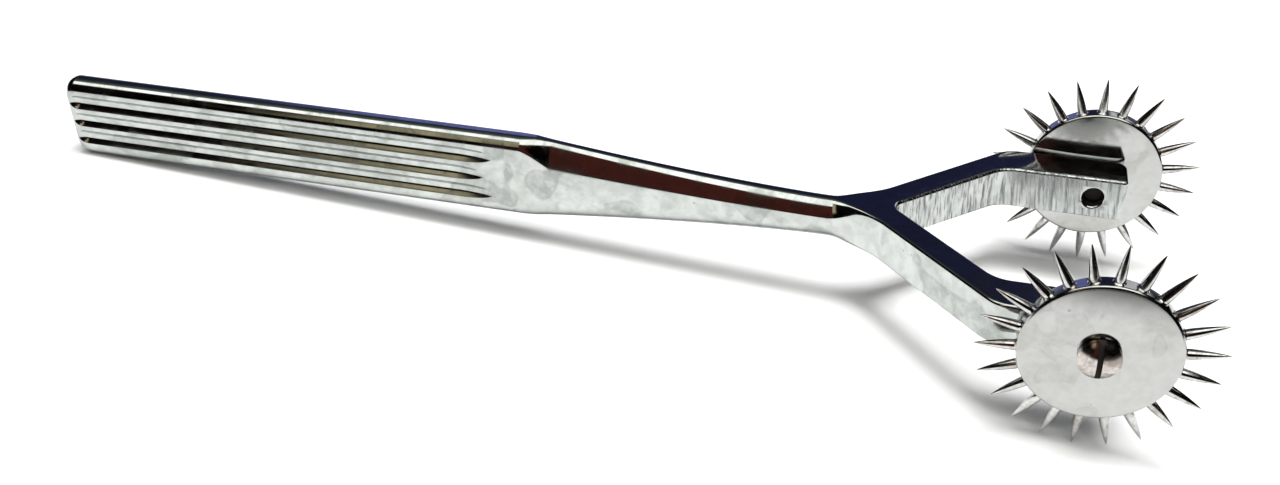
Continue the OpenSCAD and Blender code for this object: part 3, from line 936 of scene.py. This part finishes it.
class PINWHEEL_OT_screws(bpy.types.Operator):
    """Builds the two slotted axle screws with their threads"""

    bl_idname = "pinwheel.screws"
    bl_label = "Axle screws"

    def execute(self, context):
        wheels, shape, finish = sizes_of(context)
        material = worked_metal("Screw steel", finish)
        end, pad, head = self.levels(shape, wheels)
        profile, groove = self.profile(wheels, end, pad, head), self.thread(wheels, pad)
        wall, foot = wheels.slot_width / 2 * WALL_SLACK, head + wheels.head_rim + SLOT_FOOT

        # The slot's sides and floor, and the thread inside the fork end, take the near-black painted shade
        # of a recess
        def takes_painted_shade(at, way):
            in_slot = abs(at.x) < wall and at.z > head
            return at.z < pad or (in_slot and (abs(way.x) > SLOT_TURN or at.z < foot))

        for side, name in SIDES:
            place = wheel_place(shape, wheels, side)
            leaning = place @ Matrix.Rotation(-wheels.slot_lean, 4, "Z")
            data = turned(profile, SCREW_SIDES, place, name + "_screw", groove)
            piece = add_piece(data, material, "handle", "screw_steel", name + "_axle_screw")
            cut_out(piece, self.slot(wheels, leaning, head + wheels.head_rim + wheels.head_dome))
            shade_or_grind_faces(piece, leaning, takes_painted_shade, painted_recess_shade())
            piece.data.set_sharp_from_angle(angle=SCREW_SHARP)
            even_normals(piece)
        return {"FINISHED"}

    def levels(self, shape, wheels):
        """Heights of the thread's end, of the fork end's face and of the underside of the head."""
        pad = -wheels.wheel_gap - wheels.disc_crown
        head = wheels.disc_thickness + wheels.disc_swell + wheels.head_gap
        return pad - (shape.s.pad_thickness - wheels.thread_recess), pad, head

    def profile(self, wheels, end, pad, head):
        """From the thread's end along the shoulder that the wheel turns on, to the top of the dome."""
        thread, journal, rim = (
            d / 2 for d in (wheels.thread_diameter, wheels.journal_diameter, wheels.head_diameter)
        )
        dome_r = (rim**2 + wheels.head_dome**2) / (2 * wheels.head_dome)
        top = head + wheels.head_rim + wheels.head_dome
        points = [(0, end)] + [(thread, mix(end, pad, t)) for t in steps(THREAD_STEPS)]
        points += [(journal, pad), (journal, head), (rim - HEAD_CHAMFER, head), (rim, head + HEAD_CHAMFER)]
        dome = [rim * math.cos(a) for a in quarter_turn(HEAD_STEPS)]
        return points + [(r, top - dome_r + math.sqrt(dome_r**2 - r**2)) for r in dome]

    def thread(self, wheels, pad):
        deep = THREAD_DEPTH * wheels.thread_pitch

        def groove(turn, height):
            """Depth of the thread, which fades out at the shoulder and stays 0 above it."""
            phase = (height / wheels.thread_pitch - turn / (2 * math.pi)) % 1
            return deep * (1 - abs(2 * phase - 1)) * clamp01((pad - height) / THREAD_FADE)

        return groove

    def slot(self, wheels, place, top):
        """The closed block that cuts the driving slot, with its floor at the slot's depth."""
        half, reach = wheels.slot_width / 2, wheels.head_diameter / 2 + OVER
        skin = Skin()
        low, high = (
            skin.row([(-half, -reach, z), (half, -reach, z), (half, reach, z), (-half, reach, z)])
            for z in (top - wheels.slot_depth, top + OVER)
        )
        skin.tube(low, high)
        skin.faces += [low[::-1], high]
        return skin.mesh("slot", place)


class PINWHEEL_OT_pins(bpy.types.Operator):
    """Builds the pins of both wheels, each with its collar and its long point"""

    bl_idname = "pinwheel.pins"
    bl_label = "Pins"

    def execute(self, context):
        wheels, shape, finish = sizes_of(context)
        material = worked_metal("Pin chrome", finish)
        profile = self.profile(wheels)
        root = (wheels.disc_diameter / 2 - wheels.pin_seat, 0, wheels.disc_thickness / 2)
        seat = Matrix.Translation(root) @ Matrix.Rotation(math.pi / 2, 4, "Y")
        for (side, name), turn in zip(SIDES, (wheels.right_turn, wheels.left_turn)):
            wheel = wheel_place(shape, wheels, side) @ Matrix.Rotation(turn - math.pi / 2, 4, "Z")
            for i in range(1, PIN_COUNT + 1):
                place = wheel @ Matrix.Rotation(2 * math.pi * i / PIN_COUNT, 4, "Z") @ seat
                data = turned(profile, PIN_SIDES, place, f"{name}_wheel_pin_{i}")
                piece = add_piece(data, material, name + "_wheel", "pin_chrome", f"{name}_pin_{i}")
                piece.data.set_sharp_from_angle(angle=PIN_SHARP)
        return {"FINISHED"}

    def profile(self, wheels):
        """From the bottom of the hole over the collar and along the straight part to the tip."""
        foot, tip, collar = (d / 2 for d in (wheels.pin_diameter, wheels.pin_tip, wheels.pin_collar))
        seat, under = wheels.pin_seat, wheels.pin_seat - COLLAR_FOOT
        start = seat + wheels.pin_straight
        taper = (wheels.tip_diameter - wheels.disc_diameter) / 2 - wheels.pin_straight
        points = [(0, 0), (foot, 0), (foot, under)]
        points += [(collar, under), (collar, seat), (foot, seat + collar - foot)]
        for t in steps(POINT_STEPS):
            radius = mix(foot, tip, t) + 4 * wheels.pin_belly * t * (1 - t)
            points.append((radius, start + taper * t - (tip if t == 1 else 0)))
        return points + [(TIP_FLAT * tip, start + taper), (0, start + taper)]


# What the chrome reflects, by the angle from the front horizon (0) over the top (90) to the back (180)
ROOM = (
    (0, (0.001, 0.001, 0.001)),
    (10, (0.002, 0.001, 0.001)),
    (40, (0.004, 0.002, 0.002)),
    (60, (0.010, 0.008, 0.007)),
    (84, (0.20, 0.20, 0.19)),
    (100, (0.16, 0.17, 0.16)),
    (118, (0.060, 0.075, 0.070)),
    (132, (0.020, 0.025, 0.030)),
    (150, (0.018, 0.020, 0.056)),
    (158, (0.022, 0.025, 0.070)),
    (168, (0.10, 0.11, 0.14)),
    (180, (0.45, 0.47, 0.52)),
)
# Things around, each with the sideways reach and the angles where it begins and ends: brown-red seen along
# the neck, olive seen in the flutes, lavender seen along the grip's top, and a pale wall behind the wheels
THINGS = (
    ((0.085, 0.021, 0.016), (-0.33, -0.28), (-0.075, -0.045), (-7, -2), (54, 62)),
    ((0.52, 0.45, 0.29), (-0.53, -0.42), (-0.34, -0.28), (13, 24), (54, 61)),
    ((0.19, 0.21, 0.52), (-0.54, -0.40), (-0.27, -0.19), (134, 146), (181, 182)),
    ((0.85, 0.87, 0.90), (0.10, 0.17), (0.9, 1.0), (134, 140), (158, 164)),
)
# The window overhead, by angle: a thin band, and a wide one that starts at a sideways reach
THIN_WINDOW, WIDE_WINDOW, WIDE_FROM = ((59, 66), (88, 95)), ((42, 47), (78, 84)), (-0.33, -0.27)
# How far to the right and to the left the room reaches before it is dark
RIGHT_END, LEFT_END = (0.42, 0.56), (0.64, 0.74)
# Colours of the window, of what lies below the horizon, of the dark ends and of the backdrop
WINDOW, BELOW, ENDS = (2.2, 2.2, 2.1, 1), (0.012, 0.012, 0.012, 1), (0.004, 0.004, 0.004, 1)
BACKDROP = (1.2, 1.2, 1.2, 1)
# The floor: its size and its front edge, where it is dark in reflections, and the distance over which it
# runs out into the backdrop
FLOOR_SIZE, FLOOR_FRONT, FLOOR_DARK = 0.72, -0.100, (0.01, 0.01, 0.01, 1)
FLOOR_FADE, FLOOR_END = (-0.094, -0.065), (0.14, 0.26)


class PINWHEEL_OT_stage(bpy.types.Operator):
    """Sets the floor, the soft light, the surroundings and the camera"""

    bl_idname = "pinwheel.stage"
    bl_label = "Stage"

    def execute(self, context):
        look = context.scene.pinwheel_stage
        self.floor(look.floor_tint)
        self.light(context.scene, look.light_power)
        self.surroundings(context.scene)
        self.camera(context.scene)
        context.scene.view_settings.view_transform = "Standard"
        return {"FINISHED"}

    def floor(self, tint):
        bpy.ops.mesh.primitive_plane_add(size=FLOOR_SIZE, location=(0, FLOOR_SIZE / 2 + FLOOR_FRONT, 0))
        floor = bpy.context.object
        floor.name = "floor"
        material, g, shader = new_material("Floor")
        clouds = g.ramp(g.noise(g.place(), 9.0, 2.0), 0.3, 0.7, 0.03)
        shade = g.blend(clouds, (*tint, 1), (0.7, 0.68, 0.68, 1))
        x, y, _ = g.node("SeparateXYZ", {0: g.node("NewGeometry").outputs["Position"]}).outputs
        camera_ray = g.node("LightPath").outputs["Is Camera Ray"]
        lit = g.math("MAXIMUM", camera_ray, g.ramp(y, *FLOOR_FADE))
        far = g.ramp(g.math("POWER", g.plus(g.times(x, x), g.times(y, y)), 0.5), *FLOOR_END)
        g.feed(shader.inputs["Base Color"], g.blend(lit, FLOOR_DARK, shade))
        g.feed(shader.inputs["Emission Color"], g.blend(g.times(camera_ray, far), (0, 0, 0, 1), BACKDROP))
        shader.inputs["Emission Strength"].default_value = 1.0
        shader.inputs["Roughness"].default_value = 0.9
        floor.data.materials.append(material)

    def light(self, scene, power):
        """A soft box over the wheels, which the chrome doesn't mirror."""
        lamp = bpy.data.lights.new("soft_light", "AREA")
        lamp.shape, lamp.size, lamp.size_y, lamp.energy = "RECTANGLE", 0.30, 0.20, power
        lit = bpy.data.objects.new("soft_light", lamp)
        scene.collection.objects.link(lit)
        lit.location = (0.02, 0.01, 0.6)
        aim = Vector((0.03, 0, 0))
        lit.rotation_euler = (aim - lit.location).to_track_quat("-Z", "Y").to_euler()
        lit.visible_glossy = False

    def surroundings(self, scene):
        """A white backdrop for the camera. The chrome reflects a room, from the front over the top."""
        scene.world = world = bpy.data.worlds.new("Surroundings")
        world.use_nodes = True
        g = Graph(world.node_tree)
        x, y, z = g.node("SeparateXYZ", {0: g.node("TexCoord").outputs["Generated"]}).outputs
        swing = g.math("DIVIDE", g.math("ARCTAN2", z, g.times(y, -1.0)), math.pi)
        angle = g.times(swing, 180.0)
        room = g.node("ValToRGB", {"Fac": swing})
        stops = room.color_ramp.elements
        while len(stops) > 1:
            stops.remove(stops[-1])
        for at, tint in ROOM:
            stop = stops.new(at / 180) if at else stops[0]
            stop.position, stop.color = at / 180, (*tint, 1)
        seen = g.blend(g.math("LESS_THAN", z, 0.0), room.outputs["Color"], BELOW)
        for tint, rise, fall, low, high in THINGS:
            seen = g.blend(g.times(g.band(angle, low, high), g.band(x, rise, fall)), seen, (*tint, 1))
        wide = g.times(g.band(angle, *WIDE_WINDOW), g.ramp(x, *WIDE_FROM))
        seen = g.blend(g.math("MAXIMUM", wide, g.band(angle, *THIN_WINDOW)), seen, WINDOW)
        ends = g.math("MAXIMUM", g.ramp(x, *RIGHT_END), g.ramp(g.times(x, -1.0), *LEFT_END))
        seen = g.blend(ends, seen, ENDS)
        shown = g.blend(g.node("LightPath").outputs["Is Camera Ray"], seen, BACKDROP)
        g.feed(world.node_tree.nodes["Background"].inputs["Color"], shown)

    def camera(self, scene):
        """Stands where the photograph was taken from: the solved place, direction and lens."""
        stand = Vector((47.90, -177.864, 117.014)) * MM
        azimuth, elevation, roll = (math.radians(v) for v in (12.676, 37.265, 4.131))
        focal, centre_u, centre_v, wide, high = 1289.747, 625.218, 357.183, 1280, 485
        flat = math.cos(elevation)
        back = Vector((math.sin(azimuth) * flat, -math.cos(azimuth) * flat, math.sin(elevation)))
        level_right = (-back).cross(Vector((0, 0, 1))).normalized()
        level_up = level_right.cross(-back)
        right = math.cos(roll) * level_right + math.sin(roll) * level_up
        up = math.cos(roll) * level_up - math.sin(roll) * level_right
        lens = bpy.data.cameras.new("camera")
        lens.sensor_width = 36
        lens.lens = focal / wide * lens.sensor_width
        lens.shift_x, lens.shift_y = (wide / 2 - centre_u) / wide, (centre_v - high / 2) / wide
        lens.clip_start, lens.clip_end = 0.01, 10
        camera = bpy.data.objects.new("camera", lens)
        scene.collection.objects.link(camera)
        turn = Matrix((right, up, back)).transposed().to_4x4()
        camera.matrix_world = Matrix.Translation(stand) @ turn
        scene.camera = camera


class PINWHEEL_PT_panel(bpy.types.Panel):
    """Lists the pieces and their sizes"""

    bl_idname = "PINWHEEL_PT_panel"
    bl_label = "Pinwheel"
    bl_space_type = "VIEW_3D"
    bl_region_type = "UI"
    bl_category = "Pinwheel"

    def draw(self, context):
        for operator in OPERATORS:
            self.layout.operator(operator.bl_idname)
        for name in GROUPS:
            box = self.layout.box()
            group = getattr(context.scene, name)
            for prop in group.bl_rna.properties:
                if prop.identifier not in ("name", "rna_type"):
                    box.prop(group, prop.identifier)


GROUPS = {
    "pinwheel_handle": HandleSizes,
    "pinwheel_wheels": WheelSizes,
    "pinwheel_finish": Finish,
    "pinwheel_stage": StageLook,
}
OPERATORS = (
    PINWHEEL_OT_handle,
    PINWHEEL_OT_discs,
    PINWHEEL_OT_screws,
    PINWHEEL_OT_pins,
    PINWHEEL_OT_stage,
)


def register():
    for cls in (*GROUPS.values(), *OPERATORS, PINWHEEL_PT_panel):
        bpy.utils.register_class(cls)
    for name, cls in GROUPS.items():
        setattr(bpy.types.Scene, name, PointerProperty(type=cls))


def unregister():
    for name in GROUPS:
        delattr(bpy.types.Scene, name)
    for cls in (PINWHEEL_PT_panel, *OPERATORS, *reversed(GROUPS.values())):
        bpy.utils.unregister_class(cls)


def main():
    register()
    bpy.ops.pinwheel.handle()
    bpy.ops.pinwheel.discs()
    bpy.ops.pinwheel.screws()
    bpy.ops.pinwheel.pins()
    bpy.ops.pinwheel.stage()


if __name__ == "__main__":
    main()
